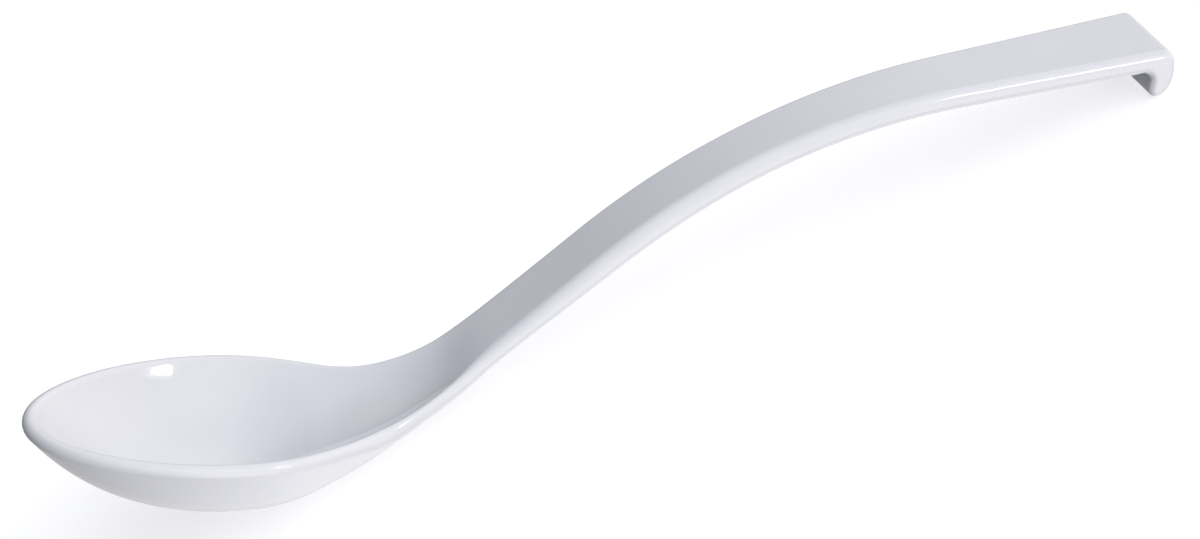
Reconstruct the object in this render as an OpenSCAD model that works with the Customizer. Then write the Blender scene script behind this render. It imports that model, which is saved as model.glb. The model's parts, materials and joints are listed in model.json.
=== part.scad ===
// Serving spoon with a deep egg-shaped bowl, an S-curved strap handle and a hook at its end.
// It lies as on a table: bowl underside and hook tip on z = 0, bowl towards -X, handle towards +X.
// One moulding, drawn as its regions: bowl, neck, handle, handle_end and hook.

/* [Bowl] */
// width over the rim
bowl_w = 66; // [54:0.5:76]
// tip of the bowl to its widest place
bowl_front = 49.5; // [42:0.5:56]
// rim down to the lowest point of the underside
bowl_depth = 22.8; // [18:0.1:28]
// thickness of the floor at the middle of the bowl
floor_t = 4; // [3:0.1:5]
// radius of the rounded rim, half of the wall there
rim_r = 2; // [1.4:0.1:2.4]
// fullness of the hollow across, where 2 is a parabola
bowl_full = 2.5; // [2:0.1:3]
// fullness of the underside across
under_full = 2.8; // [2.2:0.1:3.4]
// how much the nose narrows below a true ellipse
nose_taper = 0.05; // [0:0.01:0.12]
// tip to the plane where the underside has risen to the strap's and the neck starts, along the rim
bowl_run = 97; // [90:0.5:104]

/* [Neck] */
// straight stretch of the rim, from the tip
rim_run = 74.5; // [66:0.5:80]
// radius of the bend from the rim up to the handle
neck_r = 51.5; // [40:0.5:64]
// tip to the place where the neck's section has turned into the strap's, along the rim
neck_run = 122; // [114:0.5:128]
// thickness of the neck where it leaves the bowl
neck_t = 4.1; // [3.8:0.1:5.2]
// how far the neck's upper edges are rounded inwards where it leaves the bowl
lip_r = 0.8; // [0.6:0.1:2]
// fullness of the hollow across where it leaves the bowl
dish_full = 4; // [2:0.1:5]
// tip to the place where the hollow has run out, along the rim
dish_run = 140; // [130:0.5:150]
// how far the neck sags between its edges, where it leaves the bowl
neck_sag = 2.4; // [0:0.1:3]

/* [Handle] */
// width of the strap at its narrowest place
handle_w = 22.4; // [18:0.2:26]
// tip to that place, along the rim
waist_run = 195; // [180:1:210]
// thickness of the strap at its thickest place
handle_t = 5.7; // [5.2:0.1:7]
// tip to that place, along the rim
thick_run = 164; // [150:1:178]
// how far the strap's upper edges are rounded inwards
top_r = 2.8; // [1.6:0.1:4]
// radius of the strap's lower edges
low_r = 2; // [1:0.1:2.4]
// steepest slope of the handle against the rim
rise_angle = 40.4; // [32:0.2:46]
// straight stretch of the rise
rise_run = 42.5; // [34:0.5:56]
// radius of the long crest
crest_r = 191; // [150:1:240]

/* [Handle end] */
// slope of the straight end against the rim
end_angle = 10; // [4:0.5:16]
// length of the straight end, hook included
end_run = 56; // [40:0.5:64]
// thickness of the straight end
end_t = 5; // [4.6:0.1:6.4]
// width at the very end
end_w = 31.2; // [25:0.2:36]
// how late the handle widens, where 1 is an even taper
flare = 1.3; // [1:0.1:4]

/* [Hook] */
// thickness of the hook at the strap's underside
hook_t = 5.8; // [4.5:0.1:8]
// how far the hook's inner face leans towards the bowl
hook_lean = 15; // [0:0.5:20]
// drop of the hook below the strap's underside
hook_drop = 6.8; // [5.5:0.1:12]
// radius of the hook's tip towards the bowl
tip_r = 1.8; // [0.8:0.1:2.2]
// height of the curve that brings the hook's back to its tip
back_curve = 8.5; // [3:0.1:9.5]
// radius of the fillet between strap and hook
hook_fillet = 2; // [0.8:0.1:2.4]
// radius of the end's upper edge
end_r = 2.3; // [0.8:0.1:4]
// radius of the end's corners seen from above
corner_r = 1.6; // [1:0.1:5]

/* [Hidden] */

// points along half of the hollow, and along half of an edge
run_n = 8;
edge_n = 5;
// points of half a section, middle of the top to middle of the underside
half_n = 2 * run_n + 2 * edge_n + 1;
// points of a whole ring
ring_n = 2 * half_n - 2;
// profiles round the nose
nose_n = 28;

white = [0.93, 0.93, 0.95];
big = 80;

// where the stretches of the rim line end
run_bend = rim_run + neck_r * rise_angle * PI / 180;
run_rise = run_bend + rise_run;
run_crest = run_rise + crest_r * (rise_angle - end_angle) * PI / 180;
run_end = run_crest + end_run;
// from the end to the place where the hook's fillet leaves the strap's underside
hook_root = hook_t + hook_fillet * (1 + sin(hook_lean)) / cos(hook_lean);
run_hook = run_end - hook_root;
// from the end to the place where its rounding starts
round_run = max(end_r, corner_r);
// exponents of the outline from bowl to strap, of the underside and of the hollow along the rim
outline_n = 2.25;
outline_m = 19;
keel_n = 2.8;
keel_m = 1.8;
hollow_n = 2.1;
hollow_m = 9;
// passes that turn the ends of the rim's rounding to the slopes that they meet
turn_n = 12;

p_bend = [rim_run + neck_r * sin(rise_angle), neck_r * (1 - cos(rise_angle))];
p_rise = p_bend + rise_run * [cos(rise_angle), sin(rise_angle)];
p_crest = p_rise + crest_r * [sin(rise_angle) - sin(end_angle), cos(end_angle) - cos(rise_angle)];

function clamp01(u) = min(max(u, 0), 1);
function ease(u) = let (v = clamp01(u)) v * v * (3 - 2 * v);
function share(s, from, to) = clamp01((s - from) / (to - from));

// slope of the rim line at the distance s from the tip
function slope_at(s) =
    s < rim_run ? 0 :
    s < run_bend ? (s - rim_run) / neck_r * 180 / PI :
    s < run_rise ? rise_angle :
    s < run_crest ? rise_angle - (s - run_rise) / crest_r * 180 / PI :
    end_angle;

// point of the rim line at the distance s from the tip, seen from the side
function rim_at(s) =
    let (a = slope_at(s))
    s < rim_run ? [s, 0] :
    s < run_bend ? [rim_run + neck_r * sin(a), neck_r * (1 - cos(a))] :
    s < run_rise ? p_bend + (s - run_bend) * [cos(a), sin(a)] :
    s < run_crest ? p_rise + crest_r * [sin(rise_angle) - sin(a), cos(a) - cos(rise_angle)] :
    p_crest + (s - run_crest) * [cos(a), sin(a)];

// half of the width, from the widest place of the bowl to the end
function half_w(s) =
    let (strap = handle_w + (end_w - handle_w) * pow(share(s, waist_run, run_end), flare))
    let (u = share(s, bowl_front, waist_run))
    (strap + (bowl_w - handle_w) * pow(1 - pow(u, outline_n), outline_m)) / 2;

// how much of the strap's full thickness is reached at s
function grown(s) = ease(share(s, bowl_run, thick_run));

// thickness of the strap: thin at the bowl, thickest on the rise, thinner again at the straight end
function strap_t(s) =
    neck_t + (handle_t - neck_t) * grown(s) + (end_t - handle_t) * ease(share(s, thick_run, run_crest));

// underside below the rim line
function keel(s) =
    let (strap = strap_t(s))
    strap + (bowl_depth - strap) * pow(1 - pow(share(s, bowl_front, bowl_run), keel_n), keel_m);

// hollow below the rim line, which runs out in the neck
function hollow(s) =
    (bowl_depth - floor_t) * pow(1 - pow(share(s, bowl_front, dish_run), hollow_n), hollow_m);

// direction in which the rim's rounding meets the hollow, side 1, or the underside, side -1
function rim_turn(mid, depth, full, side, a, n) =
    n == 0 ? a :
    let (p = [mid + rim_r * cos(a), rim_r * (sin(a) - 1)])
    rim_turn(mid, depth, full, side, side * 90 + atan(full * (depth + p[1]) / p[0]), n - 1);

// half section of the bowl as [across, up]: hollow, rounded rim, underside
function bowl_half(w, d, c, full) =
    let (mid = w - rim_r)
    let (a_in = rim_turn(mid, c, full, 1, 90, turn_n), a_out = rim_turn(mid, d, under_full, -1, 0, turn_n))
    let (rim = [for (i = [0:2 * edge_n])
        let (a = a_in + (a_out - a_in) * i / (2 * edge_n)) [mid + rim_r * cos(a), rim_r * (sin(a) - 1)]])
    let (p = rim[0], q = rim[2 * edge_n])
    concat(
        [for (i = [0:run_n - 1]) let (t = i / run_n) [p[0] * t, p[1] - (c + p[1]) * (1 - pow(t, full))]],
        rim,
        [for (i = [run_n - 1:-1:0])
            let (t = i / run_n) [q[0] * t, q[1] - (d + q[1]) * (1 - pow(t, under_full))]]
    );

// half section of the strap: flat top, upper edge rounded inwards by r and down by h, lower edge, underside
function strap_half(w, d, r, h) = concat(
    [for (i = [0:run_n - 1]) [(w - r) * i / run_n, 0]],
    [for (i = [0:edge_n]) let (a = 90 - 90 * i / edge_n) [w + r * (cos(a) - 1), h * (sin(a) - 1)]],
    [for (i = [1:edge_n]) let (a = -90 * i / edge_n) [w + low_r * (cos(a) - 1), low_r * (1 + sin(a)) - d]],
    [for (i = [run_n - 1:-1:0]) [(w - low_r) * i / run_n, -d]]
);

// sag of the section between its edges: none in the bowl, full where the neck starts, none in the strap
function sag(s) = neck_sag * ease(share(s, rim_run, bowl_run)) * (1 - ease(share(s, bowl_run, neck_run)));

function half_at(s) =
    let (m = ease(share(s, rim_run, neck_run)), w = half_w(s), d = keel(s))
    let (full = bowl_full + (dish_full - bowl_full) * ease(share(s, rim_run, bowl_run)))
    let (edge = lip_r + (top_r - lip_r) * ease(share(s, bowl_run, neck_run)))
    let (strap = strap_half(w, d, edge, d - low_r))
    m >= 1 ? strap :
    let (mixed = (1 - m) * bowl_half(w, d, hollow(s), full) + m * strap)
    [for (p = mixed) p - [0, sag(s) * (1 - pow(p[0] / w, 2))]];

// half section of the block that the hook is cut from, rounded towards the end
function block_half(s) =
    let (in_corner = max(s - (run_end - corner_r), 0), in_edge = max(s - (run_end - end_r), 0))
    let (w = half_w(s) - corner_r + sqrt(max(corner_r * corner_r - in_corner * in_corner, 0)))
    let (dip = end_r - sqrt(max(end_r * end_r - in_edge * in_edge, 0)))
    let (h = strap_half(w, end_t + 2 * hook_drop, top_r, end_t - low_r))
    [for (i = [0:half_n - 1]) i <= run_n + edge_n ? h[i] - [0, dip] : h[i]];

// a half section mirrored to a ring and set square to the rim line at s
function ring(s, half) =
    let (o = rim_at(s), a = slope_at(s))
    let (flat = concat(half, [for (i = [half_n - 2:-1:1]) [-half[i][0], half[i][1]]]))
    [for (p = flat) [o[0] - p[1] * sin(a), p[0], o[1] + p[1] * cos(a)]];

// profile of the nose in the direction a, where 90 and -90 are the sides and 0 is the tip
function nose_profile(a, half) =
    let (edge = [bowl_front * (1 - cos(a)), bowl_w / 2 * sin(a) * (1 - nose_taper * pow(cos(a), 2))])
    let (dx = bowl_front * sin(a))
    let (dy = bowl_w / 2 * cos(a) * (1 - nose_taper * pow(cos(a), 2) + 2 * nose_taper * pow(sin(a), 2)))
    let (out = [-dy, dx] / norm([dx, dy]), hub = [bowl_front, 0])
    let (first = run_n, last = run_n + 2 * edge_n)
    let (rim = [for (i = [first:last]) edge + (half[i][0] - bowl_w / 2) * out])
    [for (i = [0:half_n - 1])
        let (t = i < first ? i / run_n : (half_n - 1 - i) / run_n)
        let (p = i < first ? hub + t * (rim[0] - hub) :
                 i > last ? hub + t * (rim[2 * edge_n] - hub) : rim[i - first])
        [p[0], p[1], half[i][1]]];

nose_half = half_at(bowl_front);
nose = [for (k = [0:nose_n]) nose_profile(90 - 180 * k / nose_n, nose_half)];

// evenly spaced places from a to b
function places(a, b, n) = [for (i = [0:n]) a + (b - a) * i / n];
bowl_places = places(bowl_front, bowl_run, 20);
neck_places = places(bowl_run, neck_run, 10);
handle_places = concat(
    places(neck_run, run_rise, 6),
    [for (i = [1:14]) run_rise + (run_crest - run_rise) * i / 14]
);
end_places = places(run_crest, run_end, 12);
hook_places = concat(
    places(run_hook, run_end - round_run, 2),
    [for (i = [1:8]) run_end - round_run + round_run * sin(11.25 * i)]
);

bowl_rings = [for (s = bowl_places) ring(s, half_at(s))];
hook_rings = [for (s = hook_places) ring(s, block_half(s))];

// corners of the faces between rings i and i + 1
function skin(i) = [for (j = [0:ring_n - 1])
    let (k = (j + 1) % ring_n) [i * ring_n + j, i * ring_n + k, (i + 1) * ring_n + k, (i + 1) * ring_n + j]];

// a flat end across a ring: strips from its top to its underside
function end_strips(base, flip) =
    let (m = half_n - 1)
    let (right = [for (i = [0:m / 2 - 1]) [i, i + 1, m - i - 1, m - i]])
    let (left = [for (q = right) [for (v = q) v == 0 || v == m ? v : ring_n - v]])
    [for (q = concat([for (f = right) [f[3], f[2], f[1], f[0]]], left))
        let (f = flip ? [q[3], q[2], q[1], q[0]] : q)
        let (g = [for (v = f) base + v])
        g[1] == g[2] ? [g[0], g[2], g[3]] : g];

// solid between the first and the last of a row of rings
module loft(rings) {
    n = len(rings);
    polyhedron(
        points = [for (r = rings, p = r) p],
        faces = concat(
            [for (i = [0:n - 2], f = skin(i)) f],
            end_strips(0, false),
            end_strips((n - 1) * ring_n, true)
        ),
        convexity = 6
    );
}

// number of the point i of the nose profile k, which shares its first and last profile with ring 0
function nose_vertex(k, i, base) =
    i == 0 || i == half_n - 1 || k == 0 ? i :
    k == nose_n ? ring_n - i :
    base + (k - 1) * (half_n - 2) + i - 1;

// height of a side-view point after the spoon is tipped by a
function tipped(p, a) = p[1] * cos(a) - p[0] * sin(a);
function ahead(p, a) = p[0] * cos(a) + p[1] * sin(a);

// lower outlines of the bowl and of the hook, seen from the side
keel_line = concat(
    [for (i = [run_n:half_n - 1]) let (p = nose[nose_n / 2][i]) [p[0], p[2]]],
    [for (r = bowl_rings) [r[half_n - 1][0], r[half_n - 1][2]]]
);
// hook's underside from the fillet round the tip to its back, measured from the end's upper edge
tip_low = -end_t - hook_drop;
tip_x = (tip_r - (hook_drop - tip_r) * sin(hook_lean)) / cos(hook_lean) - hook_t;
hook_line = concat(
    [for (i = [0:8])
        let (a = 90 - (90 + hook_lean) * i / 8)
        [hook_fillet * cos(a) - hook_root, hook_fillet * (sin(a) - 1) - end_t]],
    [for (i = [0:8])
        let (a = 180 - hook_lean + (90 + hook_lean) * i / 8)
        [tip_x + tip_r * cos(a), tip_low + tip_r * (1 + sin(a))]],
    [for (a = [277.5:7.5:360]) [tip_x - tip_x * cos(a), tip_low + back_curve * (1 + sin(a))]]
);
function end_point(p) = rim_at(run_end + p[0]) + p[1] * [-sin(end_angle), cos(end_angle)];

function bowl_low(a) = min([for (p = keel_line) tipped(p, a)]);
function hook_low(a) = min([for (p = hook_line) tipped(end_point(p), a)]);
// tip angle at which bowl and hook stand on one plane
function rest(lo, hi, n) =
    let (mid = (lo + hi) / 2)
    n == 0 ? mid : bowl_low(mid) < hook_low(mid) ? rest(mid, hi, n - 1) : rest(lo, mid, n - 1);
rest_angle = rest(0, 60, 40);
front_x = min([for (p = nose[nose_n / 2]) ahead([p[0], p[2]], rest_angle)]);
back_x = max([for (r = hook_rings, p = r) ahead([p[0], p[2]], rest_angle)]);

// sets what is drawn along a level rim down on the table
module lying() {
    translate([-(front_x + back_x) / 2, 0, -bowl_low(rest_angle)])
        rotate([0, rest_angle, 0])
            children();
}

// carries a side-view outline along the straight end to its place, from side to side
module across_end() {
    o = rim_at(run_end);
    translate([o[0], 0, o[1]])
        rotate([90, -end_angle, 0])
            linear_extrude(height = 2 * big, center = true)
                children();
}

// what lies under strap and hook
module under_hook() {
    polygon(concat(
        [[-big, tip_low - big], [-big, -end_t]],
        hook_line,
        [[big, tip_low + back_curve], [big, tip_low - big]]
    ));
}

module bowl() {
    base = len(bowl_rings) * ring_n;
    n = len(bowl_rings);
    inner = [for (k = [1:nose_n - 1], i = [1:half_n - 2]) nose[k][i]];
    front = [for (k = [0:nose_n - 1], i = [0:half_n - 2])
        let (a = nose_vertex(k, i, base), b = nose_vertex(k, i + 1, base))
        let (c = nose_vertex(k + 1, i + 1, base), d = nose_vertex(k + 1, i, base))
        a == d ? [a, c, b] : b == c ? [a, d, b] : [a, d, c, b]];
    back = [for (i = [0:n - 2], f = skin(i)) f];
    color(white)
        lying()
            polyhedron(
                points = concat([for (r = bowl_rings, p = r) p], inner),
                faces = concat(back, front, end_strips((n - 1) * ring_n, true)),
                convexity = 6
            );
}

module neck() {
    color(white)
        lying()
            loft([for (s = neck_places) ring(s, half_at(s))]);
}

module handle() {
    color(white)
        lying()
            loft([for (s = handle_places) ring(s, half_at(s))]);
}

module handle_end() {
    color(white)
        lying()
            difference() {
                loft([for (s = end_places) ring(s, half_at(s))]);
                across_end()
                    translate([-hook_root, -big])
                        square(2 * big);
            }
}

module hook() {
    color(white)
        lying()
            difference() {
                loft(hook_rings);
                across_end()
                    under_hook();
            }
}

bowl();
neck();
handle();
handle_end();
hook();
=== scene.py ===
"""Looks of a one-piece serving spoon in white moulded melamine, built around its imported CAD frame.

The spoon is drawn in millimetres along its own rim line, with the rim of the bowl level. One placement,
taken from the frame, then lays every mesh on the table in metres.
"""
import json
import logging
import math
from dataclasses import dataclass, field
from enum import Enum

import bmesh
import bpy
import numpy as np
from mathutils import Matrix, Quaternion, Vector, kdtree


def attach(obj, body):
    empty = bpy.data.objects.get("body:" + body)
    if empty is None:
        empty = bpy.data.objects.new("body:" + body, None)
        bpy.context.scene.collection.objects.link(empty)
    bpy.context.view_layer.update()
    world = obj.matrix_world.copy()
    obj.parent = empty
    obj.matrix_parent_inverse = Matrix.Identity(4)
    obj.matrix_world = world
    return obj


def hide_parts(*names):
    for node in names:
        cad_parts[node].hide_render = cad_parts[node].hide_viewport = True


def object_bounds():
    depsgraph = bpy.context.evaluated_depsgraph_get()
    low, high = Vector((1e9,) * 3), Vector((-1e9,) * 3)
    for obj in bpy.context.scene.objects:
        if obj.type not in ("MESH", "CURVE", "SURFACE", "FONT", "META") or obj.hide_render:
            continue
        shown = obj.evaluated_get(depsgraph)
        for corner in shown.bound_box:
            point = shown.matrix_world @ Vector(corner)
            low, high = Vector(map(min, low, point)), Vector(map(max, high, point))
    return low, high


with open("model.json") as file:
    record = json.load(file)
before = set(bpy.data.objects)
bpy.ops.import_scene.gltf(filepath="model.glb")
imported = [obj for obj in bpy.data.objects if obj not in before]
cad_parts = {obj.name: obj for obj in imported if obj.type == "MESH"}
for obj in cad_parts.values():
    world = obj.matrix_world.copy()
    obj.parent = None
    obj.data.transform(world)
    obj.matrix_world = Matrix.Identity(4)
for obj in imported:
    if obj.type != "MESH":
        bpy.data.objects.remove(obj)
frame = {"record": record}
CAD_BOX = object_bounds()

log = logging.getLogger("serving_spoon")

# a distance along the rim line, or several
Run = float | np.ndarray
# what a node's input takes: a number or another node's output
Operand = float | bpy.types.NodeSocket

MM = 0.001
BODY = "root"
# width of the photograph in pixels, which the camera's focal length is measured in
PHOTO_W = 1200
QUARTER = math.pi / 2
# segments along half of a hollow or underside, and round one rounded edge
RUN_N = 26
EDGE_N = 10
# passes that turn the ends of the rim's rounding to the slopes that they meet
RIM_PASSES = 12
# corners of a face of the skin at most: the faces where two regions meet have more
SKIN_CORNERS = 4
# points closer than this are one point, within a piece and across two pieces that meet
WELD = 0.02 * MM


class Region(Enum):
    """The regions of the moulding from the tip to the hook, named as the CAD nodes."""

    BOWL = "bowl"
    NECK = "neck"
    HANDLE = "handle"
    HANDLE_END = "handle_end"
    HOOK = "hook"


def add_node(tree: bpy.types.NodeTree, kind: str, inputs: dict | None = None,
             **settings: object) -> bpy.types.Node:
    """Adds a node to a tree, with its settings and links.

    Args:
        tree: the shader or geometry tree.
        kind: the node's type name.
        inputs: for each input's name or number, a socket to link from or a value to set.
        settings: properties of the node itself.

    Returns:
        The new node.
    """
    node = tree.nodes.new(kind)
    for key, value in settings.items():
        setattr(node, key, value)
    for key, value in (inputs or {}).items():
        if isinstance(value, bpy.types.NodeSocket):
            tree.links.new(value, node.inputs[key])
        else:
            node.inputs[key].default_value = value
    return node


def linear(hex_colour: str) -> tuple[float, float, float, float]:
    """Turns an sRGB hex colour to linear RGBA.

    Args:
        hex_colour: six hex digits.

    Returns:
        The colour as a node socket takes it.
    """
    parts = [int(hex_colour[i:i + 2], 16) / 255 for i in (0, 2, 4)]
    return (*(p / 12.92 if p <= 0.04045 else ((p + 0.055) / 1.055) ** 2.4 for p in parts), 1.0)


def share(s: Run, start: float, end: float) -> Run:
    """How far s lies between start and end, from 0 to 1."""
    return np.clip((s - start) / (end - start), 0, 1)


def ease(u: Run) -> Run:
    """A smooth step from 0 to 1."""
    return u * u * (3 - 2 * u)


@dataclass(frozen=True)
class RimLine:
    """Side-view line of the rim and of the strap's top: level, bend, rise, crest and straight end."""

    level_run: float = 74.5
    bend_r: float = 51.5
    rise_angle: float = math.radians(40.4)
    rise_run: float = 42.5
    crest_r: float = 191.0
    end_angle: float = math.radians(10.0)
    end_run: float = 56.0

    @property
    def stretches(self) -> list[tuple[float, float]]:
        """Length and curvature of each stretch, from the tip to the end."""
        return [
            (self.level_run, 0.0),
            (self.bend_r * self.rise_angle, 1 / self.bend_r),
            (self.rise_run, 0.0),
            (self.crest_r * (self.rise_angle - self.end_angle), -1 / self.crest_r),
            (self.end_run, 0.0),
        ]

    @property
    def run_end(self) -> float:
        """Distance from the tip to the end along the line."""
        return sum(length for length, _ in self.stretches)

    @property
    def run_crest(self) -> float:
        """Distance from the tip to the start of the straight end."""
        return self.run_end - self.end_run

    def trace(self, s: np.ndarray) -> tuple[np.ndarray, np.ndarray]:
        """Follows the line.

        Args:
            s: distances from the tip.

        Returns:
            The points as x and z, and the slopes in radians.
        """
        points = np.zeros((len(s), 2))
        slopes = np.zeros(len(s))
        start = 0.0
        for length, curvature in self.stretches:
            part = np.clip(s - start, 0, length)
            chord = part * np.sinc(curvature * part / (2 * np.pi))
            heading = slopes + curvature * part / 2
            points += chord[:, None] * np.stack([np.cos(heading), np.sin(heading)], axis=1)
            slopes = slopes + curvature * part
            start += length
        return points, slopes

    def place(self, s: float, half: np.ndarray) -> np.ndarray:
        """Sets a half section square to the line and mirrors it to a closed ring.

        Args:
            s: distance from the tip.
            half: points across and up, from the middle of the top to the middle of the underside.

        Returns:
            The ring's points, the first one repeated at the end.
        """
        (point,), (slope,) = self.trace(np.array([s]))
        flat = np.concatenate([half, half[-2:0:-1] * [-1, 1], half[:1]])
        across, up = flat.T
        return np.stack([point[0] - up * math.sin(slope), across, point[1] + up * math.cos(slope)], axis=1)


@dataclass(frozen=True)
class SpoonForm:
    """The sizes that all regions share, with the rules for width, depth and section along the rim line."""

    line: RimLine = RimLine()
    # bowl
    bowl_w: float = 66.0
    bowl_front: float = 49.5
    bowl_depth: float = 22.8
    floor_t: float = 4.0
    rim_r: float = 2.0
    bowl_full: float = 2.5
    under_full: float = 2.8
    nose_taper: float = 0.05
    bowl_run: float = 97.0
    # neck
    neck_run: float = 122.0
    neck_t: float = 4.1
    lip_r: float = 0.8
    dish_full: float = 4.0
    dish_run: float = 140.0
    neck_sag: float = 2.4
    # strap
    handle_w: float = 22.4
    waist_run: float = 195.0
    handle_t: float = 5.7
    thick_run: float = 164.0
    top_r: float = 2.8
    low_r: float = 2.0
    # straight end
    end_w: float = 31.2
    end_t: float = 5.0
    flare: float = 1.3
    # exponents of the outline from bowl to strap, of the underside and of the hollow
    outline_n: float = 2.25
    outline_m: float = 19.0
    keel_n: float = 2.8
    keel_m: float = 1.8
    hollow_n: float = 2.1
    hollow_m: float = 9.0

    def half_width(self, s: Run) -> Run:
        """Half of the width, from the widest place of the bowl to the end.

        Args:
            s: distance from the tip.

        Returns:
            The half width, in millimetres.
        """
        widening = share(s, self.waist_run, self.line.run_end) ** self.flare
        narrowing = (1 - share(s, self.bowl_front, self.waist_run) ** self.outline_n) ** self.outline_m
        strap = self.handle_w + (self.end_w - self.handle_w) * widening
        return (strap + (self.bowl_w - self.handle_w) * narrowing) / 2

    def strap_t(self, s: Run) -> Run:
        """Thickness of the strap: thin at the bowl, thickest on the rise, thinner at the straight end.

        Args:
            s: distance from the tip.

        Returns:
            The thickness, in millimetres.
        """
        grown = ease(share(s, self.bowl_run, self.thick_run))
        thinned = ease(share(s, self.thick_run, self.line.run_crest))
        return self.neck_t + (self.handle_t - self.neck_t) * grown + (self.end_t - self.handle_t) * thinned

    def keel(self, s: Run) -> Run:
        """Depth of the underside below the rim line."""
        fullness = (1 - share(s, self.bowl_front, self.bowl_run) ** self.keel_n) ** self.keel_m
        return self.strap_t(s) + (self.bowl_depth - self.strap_t(s)) * fullness

    def hollow(self, s: Run) -> Run:
        """Depth of the hollow below the rim line, which runs out in the neck."""
        fullness = (1 - share(s, self.bowl_front, self.dish_run) ** self.hollow_n) ** self.hollow_m
        return (self.bowl_depth - self.floor_t) * fullness

    def bowl_half(self, s: float) -> np.ndarray:
        """Half section of the bowl: hollow, rounded rim and underside.

        Args:
            s: distance from the tip.

        Returns:
            Points across and up.
        """
        mid = self.half_width(s) - self.rim_r
        depth, floor = self.keel(s), self.hollow(s)
        full = self.bowl_full
        full += (self.dish_full - full) * ease(share(s, self.line.level_run, self.bowl_run))

        def rim(angle: np.ndarray | float) -> np.ndarray:
            """Point of the rim's rounding."""
            return np.stack([mid + self.rim_r * np.cos(angle), self.rim_r * (np.sin(angle) - 1)], axis=-1)

        a_in, a_out = QUARTER, 0.0
        for _ in range(RIM_PASSES):
            p, q = rim(a_in), rim(a_out)
            a_in = QUARTER + math.atan(full * (floor + p[1]) / p[0])
            a_out = math.atan(self.under_full * (depth + q[1]) / q[0]) - QUARTER
        p, q = rim(a_in), rim(a_out)
        t = np.arange(RUN_N) / RUN_N
        inner = np.stack([p[0] * t, p[1] - (floor + p[1]) * (1 - t**full)], axis=1)
        outer = np.stack([q[0] * t, q[1] - (depth + q[1]) * (1 - t**self.under_full)], axis=1)
        return np.concatenate([inner, rim(np.linspace(a_in, a_out, 2 * EDGE_N + 1)), outer[::-1]])

    def strap_half(self, s: float) -> np.ndarray:
        """Half section of the strap: flat top, upper edge rounded far down, lower edge and flat underside.

        Args:
            s: distance from the tip.

        Returns:
            Points across and up.
        """
        w, d = self.half_width(s), self.keel(s)
        inset = self.lip_r + (self.top_r - self.lip_r) * ease(share(s, self.bowl_run, self.neck_run))
        turn = np.linspace(0, QUARTER, EDGE_N + 1)
        t = np.arange(RUN_N)[:, None] / RUN_N
        upper = np.stack([w - inset * (1 - np.sin(turn)), (self.low_r - d) * (1 - np.cos(turn))], axis=1)
        lower = np.stack([w - self.low_r * (1 - np.cos(turn)), self.low_r * (1 - np.sin(turn)) - d], axis=1)
        top = [w - inset, 0] * t
        under = [0, -d] + [w - self.low_r, 0] * t[::-1]
        return np.concatenate([top, upper, lower[1:], under])

    def sag(self, s: Run) -> Run:
        """Sag of the section between its edges, which is greatest where the neck starts."""
        begun = ease(share(s, self.line.level_run, self.bowl_run))
        return self.neck_sag * begun * (1 - ease(share(s, self.bowl_run, self.neck_run)))

    def half_section(self, s: float) -> np.ndarray:
        """Half section anywhere from the widest place of the bowl to the strap.

        Args:
            s: distance from the tip.

        Returns:
            Points across and up.
        """
        m = ease(share(s, self.line.level_run, self.neck_run))
        if m >= 1:
            return self.strap_half(s)
        half = (1 - m) * self.bowl_half(s) + m * self.strap_half(s)
        half[:, 1] -= self.sag(s) * (1 - (half[:, 0] / self.half_width(s)) ** 2)
        return half


class Draft:
    """Loose faces of one region in millimetres, welded to a closed mesh when it is finished."""

    def __init__(self) -> None:
        """Starts empty."""
        self.points: list[list[float]] = []
        self.faces: list[list[int]] = []

    def add_rows(self, rows: np.ndarray) -> None:
        """Adds the quads between rows of points.

        Args:
            rows: points in an array of rows by columns by 3.
        """
        n_rows, n_columns, _ = rows.shape
        first = len(self.points) + n_columns * np.arange(n_rows - 1)[:, None] + np.arange(n_columns - 1)
        corners = [first, first + 1, first + n_columns + 1, first + n_columns]
        self.faces += np.stack(corners, axis=-1).reshape(-1, 4).tolist()
        self.points += rows.reshape(-1, 3).tolist()

    def add_cap(self, ring: np.ndarray) -> None:
        """Adds one flat face.

        Args:
            ring: its corners in order, as rows of 3.
        """
        self.faces.append(list(range(len(self.points), len(self.points) + len(ring))))
        self.points += ring.tolist()

    def mesh(self, name: str) -> bpy.types.Mesh:
        """Welds the faces to one closed mesh in metres.

        Args:
            name: name of the mesh.

        Returns:
            The mesh, with its faces outwards.
        """
        mesh = bpy.data.meshes.new(name)
        mesh.from_pydata([[c * MM for c in p] for p in self.points], [], self.faces)
        weld(mesh)
        return mesh


def weld(mesh: bpy.types.Mesh) -> None:
    """Joins the points of a mesh that lie together and turns its faces outwards.

    Args:
        mesh: a mesh whose faces all wind the same way.
    """
    work = bmesh.new()
    work.from_mesh(mesh)
    bmesh.ops.remove_doubles(work, verts=work.verts, dist=WELD)
    if work.calc_volume(signed=True) < 0:
        bmesh.ops.reverse_faces(work, faces=work.faces)
    work.to_mesh(mesh)
    work.free()


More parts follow.
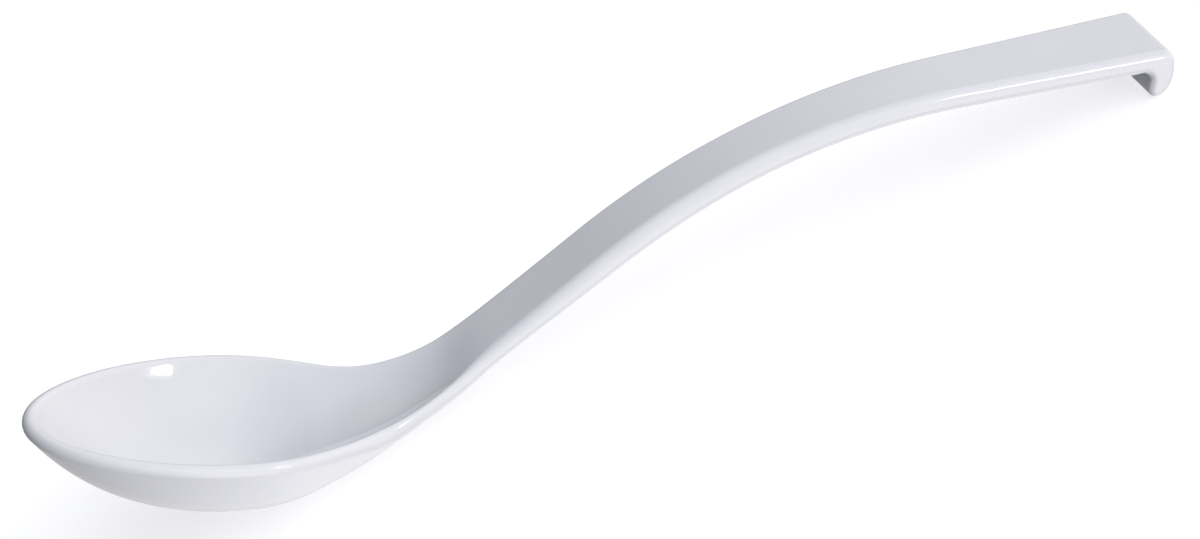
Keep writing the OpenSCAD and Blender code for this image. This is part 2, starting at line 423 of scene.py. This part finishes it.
@dataclass
class Bowl:
    """The egg-shaped bowl: a nose of profiles round a hub, then rings back to the neck."""

    form: SpoonForm
    region: Region = Region.BOWL
    nose_n: int = 96
    ring_step: float = 0.8

    def nose_profile(self, a: float, half: np.ndarray) -> np.ndarray:
        """Half section at the widest place, swung round the hub to the direction a.

        Args:
            a: direction in radians, where 0 is the tip and a quarter turn is a side.
            half: the half section to swing.

        Returns:
            Points of the profile.
        """
        f, r = self.form, self.form.bowl_w / 2
        taper = f.nose_taper * math.cos(a) ** 2
        edge = np.array([f.bowl_front * (1 - math.cos(a)), r * math.sin(a) * (1 - taper)])
        ahead = f.bowl_front * math.sin(a)
        aside = r * math.cos(a) * (1 - taper + 2 * f.nose_taper * math.sin(a) ** 2)
        outward = np.array([-aside, ahead]) / math.hypot(ahead, aside)
        hub = np.array([f.bowl_front, 0.0])
        rim = edge + (half[RUN_N:-RUN_N, :1] - r) * outward
        t = np.arange(RUN_N)[:, None] / RUN_N
        inner = hub + t * (rim[0] - hub)
        outer = hub + t[::-1] * (rim[-1] - hub)
        return np.column_stack([np.concatenate([inner, rim, outer]), half[:, 1]])

    def build(self) -> bpy.types.Mesh:
        """Builds the bowl along the level rim.

        Returns:
            Its closed mesh.
        """
        f, draft = self.form, Draft()
        half = f.half_section(f.bowl_front)
        turns = np.linspace(QUARTER, -QUARTER, self.nose_n + 1)
        draft.add_rows(np.stack([self.nose_profile(a, half) for a in turns]))
        rows = sweep(f, f.bowl_front, f.bowl_run, self.ring_step)
        draft.add_rows(rows[:, ::-1])
        draft.add_cap(rows[-1, -2::-1])
        return draft.mesh(self.region.value)


def sweep(form: SpoonForm, start: float, end: float, step: float) -> np.ndarray:
    """Rings along the rim line.

    Args:
        form: the spoon's sizes and rules.
        start: where the first ring stands, from the tip.
        end: where the last ring stands.
        step: about how far apart they stand.

    Returns:
        Points in an array of rings by columns by 3.
    """
    places = np.linspace(start, end, math.ceil((end - start) / step) + 1)
    return np.stack([form.line.place(s, form.half_section(s)) for s in places])


@dataclass
class Neck:
    """The stretch where the bowl's walls run down into the strap."""

    form: SpoonForm
    region: Region = Region.NECK
    ring_step: float = 0.7

    def build(self) -> bpy.types.Mesh:
        """Builds the neck along the level rim.

        Returns:
            Its closed mesh.
        """
        draft = Draft()
        rows = sweep(self.form, self.form.bowl_run, self.form.neck_run, self.ring_step)
        draft.add_rows(rows[:, ::-1])
        draft.add_cap(rows[0, :-1])
        draft.add_cap(rows[-1, -2::-1])
        return draft.mesh(self.region.value)


@dataclass
class Strap:
    """A stretch of the strap, swept along the rim line by Geometry Nodes and widened towards the end."""

    form: SpoonForm
    region: Region
    start: float
    end: float
    path_step: float = 1.0

    def sizes(self) -> dict[str, float]:
        """Gathers what the tree is given.

        Returns:
            Sizes in metres, with places measured from the start of this stretch, and exponents.
        """
        f = self.form
        lengths = {
            "Waist width": f.handle_w,
            "Bowl width": f.bowl_w,
            "End width": f.end_w,
            "Neck thickness": f.neck_t,
            "Rise thickness": f.handle_t,
            "End thickness": f.end_t,
            "Upper edge": f.top_r,
            "Lower edge": f.low_r,
            "Bowl front at": f.bowl_front - self.start,
            "Neck at": f.bowl_run - self.start,
            "Rise at": f.thick_run - self.start,
            "Waist at": f.waist_run - self.start,
            "Crest at": f.line.run_crest - self.start,
            "End at": f.line.run_end - self.start,
        }
        exponents = {"Lateness": f.flare, "Outline start": f.outline_n, "Outline end": f.outline_m}
        return {name: length * MM for name, length in lengths.items()} | exponents

    def tree(self) -> bpy.types.GeometryNodeTree:
        """Builds the node tree: a rounded section carried along a path and stretched by its run.

        Returns:
            The tree, whose inputs are the strap's sizes.
        """
        tree = bpy.data.node_groups.new(f"{self.region.value}_sweep", "GeometryNodeTree")
        tree.is_modifier = True
        sockets = {"Path": "Geometry", "Edge segments": "Int", "Finish": "Material"}
        for name, kind in (sockets | dict.fromkeys(self.sizes(), "Float")).items():
            tree.interface.new_socket(name=name, in_out="INPUT", socket_type=f"NodeSocket{kind}")
        tree.interface.new_socket(name="Strap", in_out="OUTPUT", socket_type="NodeSocketGeometry")
        size = add_node(tree, "NodeGroupInput").outputs

        def value(operation: str, first: Operand, second: Operand = 0.0) -> bpy.types.NodeSocket:
            """One sum on two values or sockets."""
            inputs = {0: first, 1: second}
            return add_node(tree, "ShaderNodeMath", inputs, operation=operation).outputs[0]

        def between(at: Operand, start: Operand, end: Operand, low: Operand = 0.0, high: Operand = 1.0,
                    ramp: str = "LINEAR") -> bpy.types.NodeSocket:
            """Goes from low to high while at goes from start to end."""
            inputs = {"Value": at, "From Min": start, "From Max": end, "To Min": low, "To Max": high}
            return add_node(tree, "ShaderNodeMapRange", inputs, interpolation_type=ramp).outputs[0]

        def remember(curve: bpy.types.NodeSocket, **fields: bpy.types.NodeSocket) -> bpy.types.NodeOutputs:
            """Keeps fields of a curve's points for the mesh that is swept from it.

            Args:
                curve: the curve.
                fields: what to keep, by name.

            Returns:
                The curve as Geometry, and each field under its name.
            """
            kept = add_node(tree, "GeometryNodeCaptureAttribute", domain="POINT")
            tree.links.new(curve, kept.inputs["Geometry"])
            for name, source in fields.items():
                kept.capture_items.new("VECTOR" if source.type == "VECTOR" else "FLOAT", name)
                tree.links.new(source, kept.inputs[name])
            return kept.outputs

        # a section with no side between its upper and its lower edge, whose top lies on the path
        place = add_node(tree, "GeometryNodeInputPosition").outputs[0]
        spot = add_node(tree, "ShaderNodeSeparateXYZ", {0: place}).outputs
        height = value("ADD", size["Upper edge"], size["Lower edge"])
        box = add_node(tree, "GeometryNodeCurvePrimitiveQuadrilateral",
                       {"Width": size["Waist width"], "Height": height})
        radius = add_node(tree, "GeometryNodeSwitch",
                          {"Switch": value("GREATER_THAN", spot["Y"]), "False": size["Upper edge"],
                           "True": size["Lower edge"]}, input_type="FLOAT")
        rounded = add_node(tree, "GeometryNodeFilletCurve",
                           {"Curve": box.outputs[0], "Count": size["Edge segments"],
                            "Radius": radius.outputs[0]}, mode="POLY")
        half = value("DIVIDE", size["Waist width"], 2.0)
        section = remember(rounded.outputs[0], depth=value("ADD", spot["Y"], value("DIVIDE", height, 2.0)),
                           inset=value("SUBTRACT", half, value("ABSOLUTE", spot["X"])))

        # the path keeps the section level and remembers how far along each ring stands
        upright = add_node(tree, "GeometryNodeSetCurveNormal", {"Curve": size["Path"]}, mode="Z_UP")
        length = add_node(tree, "GeometryNodeSplineParameter").outputs["Length"]
        tangent = add_node(tree, "GeometryNodeInputTangent").outputs[0]
        path = remember(upright.outputs[0], run=length, centre=place, heading=tangent)
        swept = add_node(tree, "GeometryNodeCurveToMesh",
                         {"Curve": path["Geometry"], "Profile Curve": section["Geometry"],
                          "Fill Caps": True})

        # width and thickness that belong to each ring
        run = path["run"]
        late = value("POWER", between(run, size["Waist at"], size["End at"]), size["Lateness"])
        early = value("POWER", between(run, size["Bowl front at"], size["Waist at"]), size["Outline start"])
        early = value("POWER", value("SUBTRACT", 1.0, early), size["Outline end"])
        width = value("ADD", between(late, 0.0, 1.0, size["Waist width"], size["End width"]),
                      value("MULTIPLY", early, value("SUBTRACT", size["Bowl width"], size["Waist width"])))
        risen = between(run, size["Neck at"], size["Rise at"], ramp="SMOOTHSTEP")
        thinned = between(run, size["Rise at"], size["Crest at"], ramp="SMOOTHSTEP")
        full = between(risen, 0.0, 1.0, size["Neck thickness"], size["Rise thickness"])
        thick = value("ADD", full, value("MULTIPLY", thinned,
                                         value("SUBTRACT", size["End thickness"], size["Rise thickness"])))

        # the upper edge is stretched down, the lower one keeps its radius
        across = value("SUBTRACT", value("DIVIDE", width, 2.0), section["inset"])
        side = value("SIGN", spot["Y"])
        upper = between(section["depth"], 0.0, size["Upper edge"], 0.0,
                        value("SUBTRACT", thick, size["Lower edge"]))
        lower = value("MAXIMUM", value("SUBTRACT", section["depth"], size["Upper edge"]), 0.0)
        depth = value("ADD", upper, lower)
        heading = add_node(tree, "ShaderNodeSeparateXYZ", {0: path["heading"]}).outputs
        offset = add_node(tree, "ShaderNodeCombineXYZ",
                          {"X": value("MULTIPLY", depth, heading["Z"]), "Y": value("MULTIPLY", across, side),
                           "Z": value("MULTIPLY", depth, value("MULTIPLY", heading["X"], -1.0))})
        shaped = add_node(tree, "GeometryNodeSetPosition",
                          {"Geometry": swept.outputs[0], "Position": path["centre"],
                           "Offset": offset.outputs[0]})
        plain = add_node(tree, "GeometryNodeRealizeInstances", {"Geometry": shaped.outputs[0]})
        dressed = add_node(tree, "GeometryNodeSetMaterial",
                           {"Geometry": plain.outputs[0], "Material": size["Finish"]})
        add_node(tree, "NodeGroupOutput", {0: dressed.outputs[0]})
        return tree

    def path(self) -> bpy.types.Object:
        """Draws the stretch of the rim line that the strap follows.

        Returns:
            A curve object of one open spline.
        """
        places = np.linspace(self.start, self.end, math.ceil((self.end - self.start) / self.path_step) + 1)
        points, _ = self.form.line.trace(places)
        curve = bpy.data.curves.new(f"{self.region.value}_path", "CURVE")
        curve.dimensions = "3D"
        spline = curve.splines.new("POLY")
        spline.points.add(len(points) - 1)
        for spot, (x, z) in zip(spline.points, points):
            spot.co = (x * MM, 0.0, z * MM, 1.0)
        path = bpy.data.objects.new(curve.name, curve)
        bpy.context.scene.collection.objects.link(path)
        return path

    def build(self, finish: bpy.types.Material) -> bpy.types.Mesh:
        """Sweeps the strap and keeps the result as a plain mesh.

        Args:
            finish: the material that the tree sets.

        Returns:
            The closed mesh along the level rim.
        """
        path, tree = self.path(), self.tree()
        values = self.sizes() | {"Edge segments": EDGE_N, "Finish": finish}
        modifier = path.modifiers.new("sweep", "NODES")
        modifier.node_group = tree
        for socket in tree.interface.items_tree:
            if socket.name in values:
                modifier[socket.identifier] = values[socket.name]
        graph = bpy.context.evaluated_depsgraph_get()
        mesh = bpy.data.meshes.new_from_object(path.evaluated_get(graph))
        mesh.name = self.region.value
        path.modifiers.clear()
        bpy.data.objects.remove(path)
        weld(mesh)
        return mesh


@dataclass
class Hook:
    """The hook: the strap turned down at its end, between an outer and an inner line that meet in the tip.

    Both lines are measured along the straight end and up from it, from the end's upper edge.
    """

    form: SpoonForm
    region: Region = Region.HOOK
    hook_t: float = 5.8
    hook_lean: float = math.radians(15.0)
    hook_drop: float = 6.8
    tip_r: float = 1.8
    back_curve: float = 8.5
    hook_fillet: float = 2.0
    end_r: float = 2.3
    corner_r: float = 1.6
    # rounding of the edges at the sides of the inner face and of the tip
    edge_r: float = 1.7
    ring_n: int = 120
    fine_n: int = 200

    @property
    def root(self) -> float:
        """From the end to the place where the fillet leaves the strap's underside."""
        return self.hook_t + self.hook_fillet * (1 + math.sin(self.hook_lean)) / math.cos(self.hook_lean)

    @property
    def start(self) -> float:
        """Where the hook's region starts, from the tip of the spoon."""
        return self.form.line.run_end - self.root

    @property
    def tip(self) -> np.ndarray:
        """The lowest point of the hook.

        Returns:
            Its place along the straight end and up from it.
        """
        lean = self.hook_lean
        ahead = (self.tip_r - (self.hook_drop - self.tip_r) * math.sin(lean)) / math.cos(lean)
        return np.array([ahead - self.hook_t, -self.form.end_t - self.hook_drop])

    def spaced(self, line: np.ndarray) -> np.ndarray:
        """Spaces the rows of a line evenly along its first two columns.

        Args:
            line: points, with anything that goes with them in further columns.

        Returns:
            One row for each ring.
        """
        run = np.concatenate([[0], np.cumsum(np.linalg.norm(np.diff(line[:, :2], axis=0), axis=1))])
        places = np.linspace(0, run[-1], self.ring_n + 1)
        return np.stack([np.interp(places, run, column) for column in line.T], axis=1)

    def outer_line(self) -> tuple[np.ndarray, np.ndarray, np.ndarray]:
        """Follows the outside: strap top, end's upper edge, back and its curve down to the tip.

        Returns:
            The points, the same points set in by their edge's rounding, and the rounding's depth.
        """
        f, tip = self.form, self.tip
        turn = np.linspace(0, QUARTER, self.fine_n)
        top = [[self.start - f.line.run_end, 0.0]]
        edge = self.end_r * np.stack([np.sin(turn) - 1, np.cos(turn) - 1], axis=1)
        reach = np.array([-tip[0], self.back_curve])
        back = tip + reach * np.stack([np.cos(turn), 1 - np.sin(turn)], axis=1)
        points = self.spaced(np.concatenate([top, edge, back]))
        # angle reached on the back's curve, and the way out from it
        turned = np.arcsin(np.clip(1 - (points[:, 1] - tip[1]) / self.back_curve, 0, 1))
        out = np.stack([np.cos(turned) * reach[1], -np.sin(turned) * reach[0]], axis=1)
        out /= np.linalg.norm(out, axis=1, keepdims=True)
        late = ease(turned / QUARTER)
        curved = points - out * (self.corner_r + (self.edge_r - self.corner_r) * late)[:, None]
        square = np.minimum(points, [-self.corner_r, f.low_r - f.end_t])
        inset = np.where(turned[:, None] > 0, curved, square)
        round_corner = np.arctan2(*(points - inset).T) / QUARTER
        depth = f.top_r + (self.corner_r - f.top_r) * np.clip(round_corner, 0, 1)
        return points, inset, depth + (self.edge_r - depth) * late

    def inner_line(self) -> tuple[np.ndarray, np.ndarray, np.ndarray]:
        """Follows the inside: fillet under the strap, inner face and tip.

        Returns:
            The points, the same points set in by their edge's rounding, and the rounding's depth.
        """
        f = self.form

        def arc(hub: np.ndarray, start: float, end: float, near: Run, far: Run, edge: Run) -> np.ndarray:
            """Follows an arc.

            Args:
                hub: its middle.
                start: direction of its first point, in radians.
                end: direction of its last point.
                near: its radius.
                far: radius of the same points set in.
                edge: depth of the rounding.

            Returns:
                Rows of the points, the points set in, and the rounding's depth.
            """
            turn = np.linspace(start, end, self.fine_n)
            out = np.stack([np.cos(turn), np.sin(turn)], axis=1)
            return np.column_stack([hub + near * out, hub + far * out, np.broadcast_to(edge, turn.shape)])

        edge = np.linspace(f.low_r, self.edge_r, self.fine_n)[:, None]
        hub = np.array([-self.root, -f.end_t - self.hook_fillet])
        fillet = arc(hub, QUARTER, -self.hook_lean, self.hook_fillet, self.hook_fillet + edge, edge[:, 0])
        hub = self.tip + [0, self.tip_r]
        tip = arc(hub, math.pi - self.hook_lean, 3 * QUARTER, self.tip_r, self.tip_r - self.edge_r,
                  self.edge_r)
        line = self.spaced(np.concatenate([fillet, tip]))
        return line[:, :2], line[:, 2:4], line[:, 4]

    def build(self) -> bpy.types.Mesh:
        """Builds the hook along the level rim.

        Returns:
            Its closed mesh.
        """
        f, draft = self.form, Draft()
        turn = np.linspace(0, QUARTER, EDGE_N + 1)
        edges = []
        for points, inset, depth in (self.outer_line(), self.inner_line()):
            flat = inset[:, None] + (points - inset)[:, None] * np.cos(turn)[:, None]
            width = f.half_width(f.line.run_end + flat[..., 0])
            edges.append(np.dstack([flat, width - depth[:, None] * (1 - np.sin(turn))]))
        half = np.hstack([edges[0], edges[1][:, ::-1]])
        along, up, across = np.hstack([half, half[:, ::-1] * [1, 1, -1], half[:, :1]]).transpose(2, 0, 1)
        (corner,), (slope,) = f.line.trace(np.array([f.line.run_end]))
        rows = np.stack([
            corner[0] + along * math.cos(slope) - up * math.sin(slope),
            across,
            corner[1] + along * math.sin(slope) + up * math.cos(slope),
        ], axis=-1)
        draft.add_rows(rows[:, ::-1])
        draft.add_cap(rows[0, :-1])
        return draft.mesh(self.region.value)


@dataclass(frozen=True)
class Melamine:
    """Compression-moulded melamine, pressed in a polished steel mould.

    It shows as a dense, faintly cool white with a hard gloss: reflections are sharp but a little wavy, the
    resin is slightly cloudy, and wiping and the table leave it a touch duller in places.
    """

    name: str = "compression_moulded_melamine"
    body: str = "DEDFE5"
    cloud: str = "D8D9E1"
    ior: float = 1.6
    # roughness where it is untouched, wiped and worn by the table
    polished: float = 0.05
    wiped: float = 0.09
    rested: float = 0.3
    # width of the clouds in the resin
    cloud_mm: float = 16.0
    # width and height of the waves that the mould leaves
    wave_mm: float = 4.0
    wave_height_mm: float = 0.012
    # width of wiping marks, which run several times as long, drawn coarser than real ones so that they show
    wipe_mm: float = 1.6
    wipe_stretch: float = 9.0
    # values of their noise where the gloss starts to dull and where it is fully wiped
    wipe_starts: float = 0.4
    wipe_full: float = 0.75
    # finer layers in the noise of the clouds, of the wiping marks and of the waves
    cloud_detail: float = 3.0
    wipe_detail: float = 4.0
    wave_detail: float = 1.0
    # height above the table up to which resting has dulled the gloss
    rest_mm: float = 1.2

    def material(self) -> bpy.types.Material:
        """Builds the material.

        Returns:
            A node material on the pieces' own coordinates.
        """
        material = bpy.data.materials.new(self.name)
        material.use_nodes = True
        tree = material.node_tree
        tree.nodes.clear()
        place = add_node(tree, "ShaderNodeTexCoord").outputs["Object"]
        clouds = add_node(tree, "ShaderNodeTexNoise",
                          {"Vector": place, "Scale": 1 / (self.cloud_mm * MM), "Detail": self.cloud_detail})
        colour = add_node(tree, "ShaderNodeMix", {"Factor": clouds.outputs["Fac"]}, data_type="RGBA")
        ends = (s for s in colour.inputs if s.type == "RGBA")
        for socket, hex_colour in zip(ends, (self.body, self.cloud)):
            socket.default_value = linear(hex_colour)

        along = add_node(tree, "ShaderNodeMapping",
                         {"Vector": place, "Scale": (1 / self.wipe_stretch, 1.0, 1.0)})
        wipes = add_node(tree, "ShaderNodeTexNoise",
                         {"Vector": along.outputs[0], "Scale": 1 / (self.wipe_mm * MM),
                          "Detail": self.wipe_detail})
        gloss = add_node(tree, "ShaderNodeMapRange",
                         {"Value": wipes.outputs["Fac"], "From Min": self.wipe_starts,
                          "From Max": self.wipe_full, "To Min": self.polished, "To Max": self.wiped})
        height = add_node(tree, "ShaderNodeSeparateXYZ", {0: place}).outputs["Z"]
        rough = add_node(tree, "ShaderNodeMapRange",
                         {"Value": height, "From Min": 0.0, "From Max": self.rest_mm * MM,
                          "To Min": self.rested, "To Max": gloss.outputs[0]})
        waves = add_node(tree, "ShaderNodeTexNoise",
                         {"Vector": place, "Scale": 1 / (self.wave_mm * MM), "Detail": self.wave_detail})
        bump = add_node(tree, "ShaderNodeBump",
                        {"Height": waves.outputs["Fac"], "Distance": self.wave_height_mm * MM})
        surface = add_node(tree, "ShaderNodeBsdfPrincipled",
                           {"Base Color": next(s for s in colour.outputs if s.type == "RGBA"),
                            "Roughness": rough.outputs[0], "IOR": self.ior, "Normal": bump.outputs[0]})
        add_node(tree, "ShaderNodeOutputMaterial", {"Surface": surface.outputs[0]})
        return material


@dataclass
class Moulding:
    """The whole spoon: one skin of melamine over all regions."""

    form: SpoonForm = field(default_factory=SpoonForm)
    finish: Melamine = field(default_factory=Melamine)

    def build(self) -> Matrix:
        """Builds, lays down, shades and dresses every region.

        Returns:
            The matrix that takes the level rim to the table.
        """
        f, material = self.form, self.finish.material()
        hook = Hook(f)
        handle = Strap(f, Region.HANDLE, f.neck_run, f.line.run_crest)
        handle_end = Strap(f, Region.HANDLE_END, f.line.run_crest, hook.start)
        meshes = {
            Region.BOWL: Bowl(f).build(),
            Region.NECK: Neck(f).build(),
            Region.HANDLE: handle.build(material),
            Region.HANDLE_END: handle_end.build(material),
            Region.HOOK: hook.build(),
        }
        lying = self.lay(list(meshes.values()))
        self.shade_as_one(list(meshes.values()))
        for region, mesh in meshes.items():
            mesh.materials.clear()
            mesh.materials.append(material)
            piece = bpy.data.objects.new(f"moulded_{region.value}", mesh)
            bpy.context.scene.collection.objects.link(piece)
            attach(piece, BODY)
            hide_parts(region.value)
            log.info("%s: %d faces", piece.name, len(mesh.polygons))
        return lying

    def lay(self, meshes: list[bpy.types.Mesh]) -> Matrix:
        """Tips the level spoon over and sets it down where the CAD part rests.

        Args:
            meshes: all regions along the level rim.

        Returns:
            The matrix that was applied to them.
        """
        top = next(m["axis"] for m in frame["record"]["mounts"] if m["name"] == "thumb_face")
        tip_over = Matrix.Rotation(math.atan2(top[0], top[2]) + self.form.line.end_angle, 4, "Y")
        low = np.min([tip_over @ v.co for mesh in meshes for v in mesh.vertices], axis=0)
        lying = Matrix.Translation((CAD_BOX[0].x - low[0], 0, CAD_BOX[0].z - low[2])) @ tip_over
        for mesh in meshes:
            mesh.transform(lying)
        return lying

    def shade_as_one(self, meshes: list[bpy.types.Mesh]) -> None:
        """Shades the regions as one continuous skin and leaves the faces where they meet flat.

        Args:
            meshes: all regions, whose meeting faces are the only ones with more than four corners.
        """
        skin = bpy.data.meshes.new("skin")
        points, faces = [], []
        for mesh in meshes:
            outside = [p for p in mesh.polygons if p.loop_total <= SKIN_CORNERS]
            faces += [[len(points) + v for v in p.vertices] for p in outside]
            points += [v.co.copy() for v in mesh.vertices]
        skin.from_pydata(points, [], faces)
        weld(skin)
        # large faces count for more, so that the flat top stays flat up to its edges
        leaning = [Vector() for _ in skin.vertices]
        for face in skin.polygons:
            for vertex in face.vertices:
                leaning[vertex] += face.normal * face.area
        tree = kdtree.KDTree(len(skin.vertices))
        for vertex in skin.vertices:
            tree.insert(vertex.co, vertex.index)
        tree.balance()
        for mesh in meshes:
            mesh.shade_smooth()
            smooth = [leaning[tree.find(v.co)[1]].normalized() for v in mesh.vertices]
            normals = [Vector()] * len(mesh.loops)
            for face in mesh.polygons:
                flat = face.loop_total > SKIN_CORNERS
                for corner, vertex in zip(face.loop_indices, face.vertices):
                    normals[corner] = face.normal.copy() if flat else smooth[vertex]
            mesh.normals_split_custom_set(normals)
        bpy.data.meshes.remove(skin)


def towards(azimuth: float, elevation: float) -> Vector:
    """Direction out from the spoon.

    Args:
        azimuth: degrees about the upright, from the near side to the end.
        elevation: degrees above the level.

    Returns:
        A unit vector.
    """
    a, e = math.radians(azimuth), math.radians(elevation)
    return Vector((math.sin(a) * math.cos(e), -math.cos(a) * math.cos(e), math.sin(e)))


@dataclass(frozen=True)
class Glow:
    """A wide glow of the dome, which fades out a quarter turn away from its middle."""

    # direction of its middle in degrees
    azimuth: float
    elevation: float
    strength: float
    colour: str = "FFFFFF"


@dataclass(frozen=True)
class KeyLamp:
    """A small rectangular lamp near the spoon, which leaves the sharp lights on its gloss."""

    # place in degrees and metres, size in metres
    azimuth: float = 40.3
    elevation: float = 29.8
    distance: float = 0.52
    width: float = 0.1
    height: float = 0.006
    watts: float = 0.3
    # turned about its own axis, so that its light lies level on the far wall of the bowl
    turn: float = 140.0

    def place(self) -> None:
        """Adds the lamp, turned to the spoon."""
        light = bpy.data.lights.new("key_lamp", "AREA")
        light.shape = "RECTANGLE"
        light.size, light.size_y = self.width, self.height
        light.energy = self.watts
        lamp = bpy.data.objects.new("key_lamp", light)
        back = towards(self.azimuth, self.elevation)
        lamp.location = self.distance * back
        turned = Quaternion((0.0, 0.0, 1.0), math.radians(self.turn))
        lamp.rotation_euler = (back.to_track_quat("Z", "Y") @ turned).to_euler()
        lamp.visible_diffuse = False  # it shows in the gloss alone
        bpy.context.scene.collection.objects.link(lamp)


@dataclass
class Studio:
    """A plain white floor, soft light from all round and the photograph's camera."""

    # camera about the level rim, in degrees and millimetres, with its focal length in the photograph's
    # pixels and its sensor's width in millimetres
    azimuth: float = -17.78
    elevation: float = 23.53
    roll: float = 4.47
    distance: float = 1100.0
    target: tuple[float, float, float] = (144.360, 0.0, 32.865)
    focal_px: float = 4397.3
    sensor_mm: float = 36.0
    # floor: its size in metres, the gap that keeps it clear of the spoon, and its looks
    floor_size: float = 8.0
    floor_gap_mm: float = 0.1
    floor_colour: str = "C8C8CA"
    floor_rough: float = 0.9
    # light of its own that the backlit floor gives off
    floor_glow: float = 0.58
    floor_glow_colour: str = "FFFFFF"
    # the glows below the level stand in for the floor's light on the spoon
    glows: tuple[Glow, ...] = (
        Glow(0.0, 88.0, 0.83, "E6EFFF"),
        Glow(0.0, 38.0, 1.14),
        Glow(45.0, 38.0, 1.21, "FFFBF5"),
        Glow(135.0, 38.0, 1.23),
        Glow(90.0, 10.0, 1.13, "FFFBF5"),
        Glow(0.0, -20.0, 2.18),
        Glow(135.0, -20.0, 0.73),
        Glow(180.0, -50.0, 0.76),
        Glow(0.0, -88.0, 1.44),
    )
    # how fast a glow fades away from its middle
    glow_fade: float = 6.0
    key_lamp: KeyLamp = KeyLamp()

    def add_camera(self, lying: Matrix) -> None:
        """Adds the camera where the photograph was taken from.

        Args:
            lying: the matrix that takes the level rim to the table.
        """
        back, r = towards(self.azimuth, self.elevation), math.radians(self.roll)
        right = Vector((0, 0, 1)).cross(back).normalized()
        up = back.cross(right)
        right, up = right * math.cos(r) + up * math.sin(r), up * math.cos(r) - right * math.sin(r)
        aim = Matrix((right, up, back)).transposed().to_4x4()
        aim.translation = (Vector(self.target) + back * self.distance) * MM
        data = bpy.data.cameras.new("photo_camera")
        data.sensor_width = self.sensor_mm
        data.lens = self.sensor_mm * self.focal_px / PHOTO_W
        camera = bpy.data.objects.new("photo_camera", data)
        camera.matrix_world = lying @ aim
        bpy.context.scene.collection.objects.link(camera)
        bpy.context.scene.camera = camera

    def add_floor(self) -> None:
        """Adds the floor just under the spoon."""
        half, level = self.floor_size / 2, CAD_BOX[0].z - self.floor_gap_mm * MM
        mesh = bpy.data.meshes.new("floor")
        corners = [(x * half, y * half, level) for x, y in ((-1, -1), (1, -1), (1, 1), (-1, 1))]
        mesh.from_pydata(corners, [], [(0, 1, 2, 3)])
        material = bpy.data.materials.new("backlit_white_acrylic")
        material.use_nodes = True
        surface = material.node_tree.nodes["Principled BSDF"]
        surface.inputs["Base Color"].default_value = linear(self.floor_colour)
        surface.inputs["Roughness"].default_value = self.floor_rough
        surface.inputs["Specular IOR Level"].default_value = 0.0
        surface.inputs["Emission Color"].default_value = linear(self.floor_glow_colour)
        surface.inputs["Emission Strength"].default_value = self.floor_glow
        mesh.materials.append(material)
        floor = bpy.data.objects.new("floor", mesh)
        # it only shows and takes shadows: the spoon is lit as if it floated in the dome
        floor.visible_diffuse = floor.visible_glossy = floor.visible_shadow = False
        bpy.context.scene.collection.objects.link(floor)

    def add_light(self) -> None:
        """Adds the dome, as the sum of its glows, and the key lamp."""
        world = bpy.data.worlds.new("studio_dome")
        world.use_nodes = True
        tree = world.node_tree
        tree.nodes.clear()
        way = add_node(tree, "ShaderNodeTexCoord").outputs["Generated"]
        total: Vector | bpy.types.NodeSocket = Vector()
        for glow in self.glows:
            middle = towards(glow.azimuth, glow.elevation)
            colour = Vector(linear(glow.colour)[:3]) * glow.strength
            near = add_node(tree, "ShaderNodeVectorMath", {0: way, 1: middle}, operation="DOT_PRODUCT")
            inputs = {0: near.outputs["Value"], 1: 0.0}
            front = add_node(tree, "ShaderNodeMath", inputs, operation="MAXIMUM")
            inputs = {0: front.outputs[0], 1: self.glow_fade}
            faded = add_node(tree, "ShaderNodeMath", inputs, operation="POWER")
            inputs = {0: faded.outputs[0], 1: colour, 2: total}
            total = add_node(tree, "ShaderNodeVectorMath", inputs, operation="MULTIPLY_ADD").outputs[0]
        dome = add_node(tree, "ShaderNodeBackground", {"Color": total})
        add_node(tree, "ShaderNodeOutputWorld", {"Surface": dome.outputs[0]})
        bpy.context.scene.world = world
        self.key_lamp.place()
        bpy.context.scene.view_settings.view_transform = "Standard"


def main() -> None:
    """Builds the spoon region by region and sets up the studio round it."""
    lying = Moulding().build()
    studio = Studio()
    studio.add_camera(lying)
    studio.add_floor()
    studio.add_light()


if __name__ == "__main__":
    logging.basicConfig(level=logging.INFO, format="%(name)s: %(message)s")
    main()
